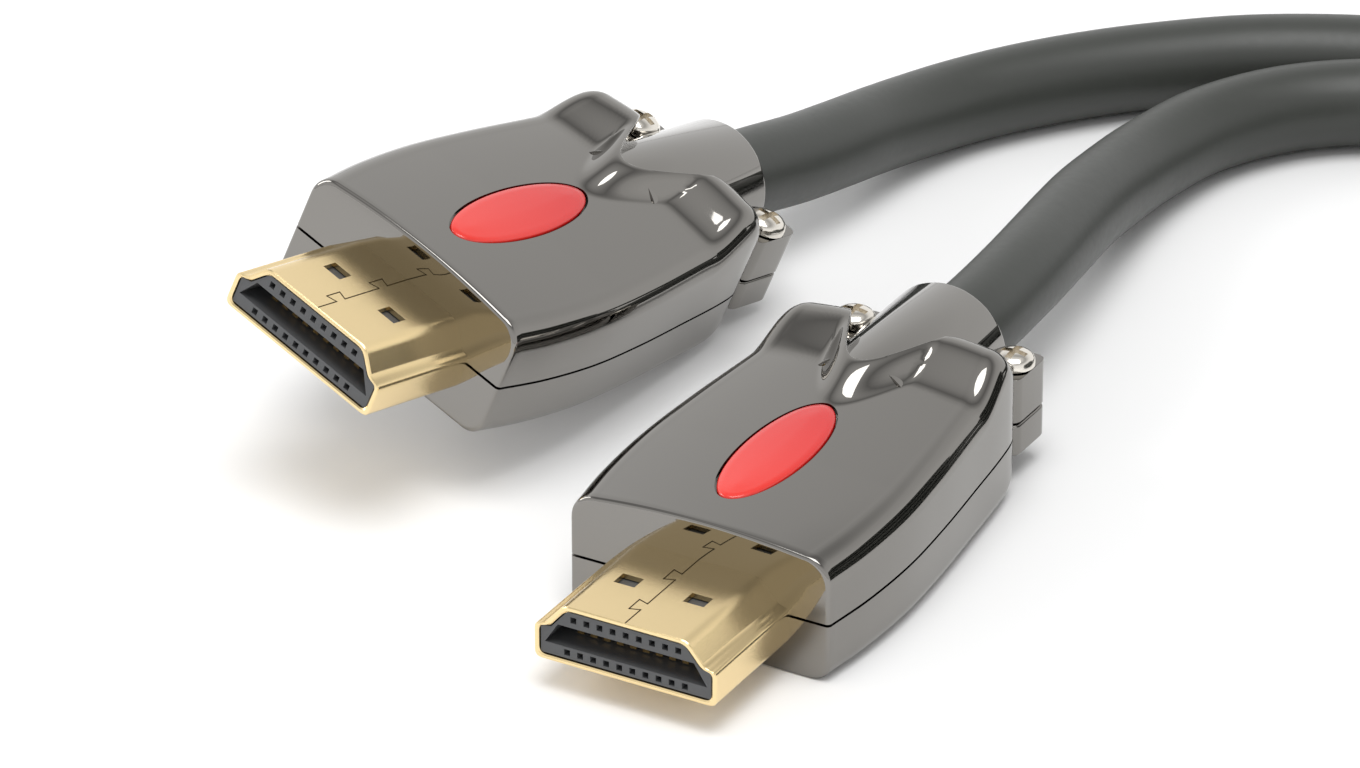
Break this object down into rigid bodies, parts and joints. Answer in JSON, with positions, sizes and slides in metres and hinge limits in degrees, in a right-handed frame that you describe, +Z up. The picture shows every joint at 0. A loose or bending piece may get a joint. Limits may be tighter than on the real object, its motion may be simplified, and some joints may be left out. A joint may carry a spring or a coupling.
{
  "type": "hdmi cable",
  "caption": "HDMI cable with a full-size type A plug on each end, metal hoods with a red oval inlay, screwed cable clamps and its slack wound in a tied coil.",
  "frame": {"origin": "middle of the near plug's flat underside, on the surface that the cable lies on", "axes": "+Z up, +Y from the near plug's mouth towards its cable, +X to the right seen from behind the mouth"},
  "size_m": [0.1516, 0.1133, 0.0286],
  "materials": {
    "gold_plate": "gold plated, polished",
    "contact_gold": "gold plated",
    "black_chrome": "polished black chrome",
    "nickel_plate": "polished nickel",
    "grey_plastic": "moulded, semi-matte",
    "red_enamel": "glossy red",
    "cable_sheath": "soft satin PVC",
    "tie_strap": "woven hook-and-loop strap"
  },
  "bodies": {
    "root": {"near_shell": "gold_plate", "near_insulator": "grey_plastic", "near_contact_lower_1": "contact_gold", "near_contact_lower_2": "contact_gold", "near_contact_lower_3": "contact_gold", "near_contact_lower_4": "contact_gold", "near_contact_lower_5": "contact_gold", "near_contact_lower_6": "contact_gold", "near_contact_lower_7": "contact_gold", "near_contact_lower_8": "contact_gold", "near_contact_lower_9": "contact_gold", "near_contact_lower_10": "contact_gold", "near_contact_upper_1": "contact_gold", "near_contact_upper_2": "contact_gold", "near_contact_upper_3": "contact_gold", "near_contact_upper_4": "contact_gold", "near_contact_upper_5": "contact_gold", "near_contact_upper_6": "contact_gold", "near_contact_upper_7": "contact_gold", "near_contact_upper_8": "contact_gold", "near_contact_upper_9": "contact_gold", "near_hood_upper": "black_chrome", "near_hood_lower": "black_chrome", "near_badge": "red_enamel", "near_clamp_upper": "black_chrome", "near_clamp_lower": "black_chrome", "near_screw_left": "nickel_plate", "near_screw_right": "nickel_plate", "far_shell": "gold_plate", "far_insulator": "grey_plastic", "far_contact_lower_1": "contact_gold", "far_contact_lower_2": "contact_gold", "far_contact_lower_3": "contact_gold", "far_contact_lower_4": "contact_gold", "far_contact_lower_5": "contact_gold", "far_contact_lower_6": "contact_gold", "far_contact_lower_7": "contact_gold", "far_contact_lower_8": "contact_gold", "far_contact_lower_9": "contact_gold", "far_contact_lower_10": "contact_gold", "far_contact_upper_1": "contact_gold", "far_contact_upper_2": "contact_gold", "far_contact_upper_3": "contact_gold", "far_contact_upper_4": "contact_gold", "far_contact_upper_5": "contact_gold", "far_contact_upper_6": "contact_gold", "far_contact_upper_7": "contact_gold", "far_contact_upper_8": "contact_gold", "far_contact_upper_9": "contact_gold", "far_hood_upper": "black_chrome", "far_hood_lower": "black_chrome", "far_badge": "red_enamel", "far_clamp_upper": "black_chrome", "far_clamp_lower": "black_chrome", "far_screw_left": "nickel_plate", "far_screw_right": "nickel_plate", "cable_near": "cable_sheath", "cable_far": "cable_sheath", "cable_coil": "cable_sheath", "cable_tie": "tie_strap"}
  },
  "joints": []
}
